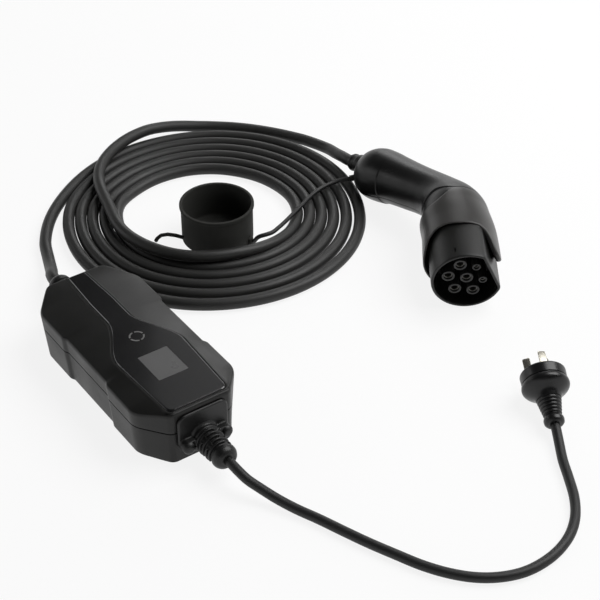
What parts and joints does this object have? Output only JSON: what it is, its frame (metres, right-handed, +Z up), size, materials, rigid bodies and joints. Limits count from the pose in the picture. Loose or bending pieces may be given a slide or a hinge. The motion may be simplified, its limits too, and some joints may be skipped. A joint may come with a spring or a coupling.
{
  "type": "electric car charger",
  "caption": "Portable electric car charger: waisted control box with a glossy panel, coiled cable, vehicle connector, tethered dust cap, and a mains lead with a flat-pin plug.",
  "frame": {"origin": "centre of the control box's flat underside, which rests on the table", "axes": "+X along the control box towards the mains lead, +Z up, so +Y runs from the box towards the coil and the connector"},
  "size_m": [0.6765, 0.4062, 0.073],
  "materials": {
    "box_plastic": "fine texture",
    "seal_rubber": "matt",
    "panel_gloss": "polished",
    "display_grey": "polished",
    "light_guide": "clear light guide, unlit",
    "circuit_board": "solder mask",
    "component_black": "moulded",
    "component_brown": "wound and taped",
    "component_yellow": "taped",
    "terminal_green": "moulded",
    "screw_steel": "zinc plated",
    "relief_rubber": "satin",
    "lead_sheath": "matt",
    "plug_plastic": "satin gloss",
    "pin_brass": "bright",
    "cable_sheath": "matt",
    "head_plastic": "satin",
    "grip_plastic": "fine texture",
    "nose_plastic": "satin",
    "carrier_plastic": "satin",
    "contact_silver": "silver plated",
    "cap_rubber": "satin",
    "tether_sheath": "satin"
  },
  "bodies": {
    "root": {"base_shell": "box_plastic", "top_cover": "box_plastic", "case_gasket": "seal_rubber", "front_panel": "panel_gloss", "display_module": "display_grey", "status_ring": "light_guide", "main_board": "circuit_board", "display_board": "circuit_board", "power_relays": "component_black", "current_transformer": "component_brown", "power_supply": "component_yellow", "input_terminals": "terminal_green", "output_terminals": "terminal_green", "board_screws": "screw_steel", "case_screws": "screw_steel", "input_strain_relief": "relief_rubber", "output_strain_relief": "relief_rubber", "mains_lead": "lead_sheath", "plug_body": "plug_plastic", "plug_sleeve": "plug_plastic", "line_pins": "pin_brass", "earth_pin": "pin_brass", "cable_box_run": "cable_sheath", "cable_coil": "cable_sheath", "cable_connector_run": "cable_sheath", "head_cover": "head_plastic", "grip_shell_left": "grip_plastic", "grip_shell_right": "grip_plastic", "grip_screws": "screw_steel", "nose_shroud": "nose_plastic", "contact_carrier": "carrier_plastic", "contact_tubes": "carrier_plastic", "power_contacts": "contact_silver", "pilot_contacts": "contact_silver", "nose_seal": "seal_rubber", "cord_clamp": "component_black", "grip_boot": "relief_rubber", "dust_cap": "cap_rubber", "cap_pull_loop": "cap_rubber", "cap_tether": "tether_sheath", "tether_anchor": "cap_rubber"}
  },
  "joints": []
}
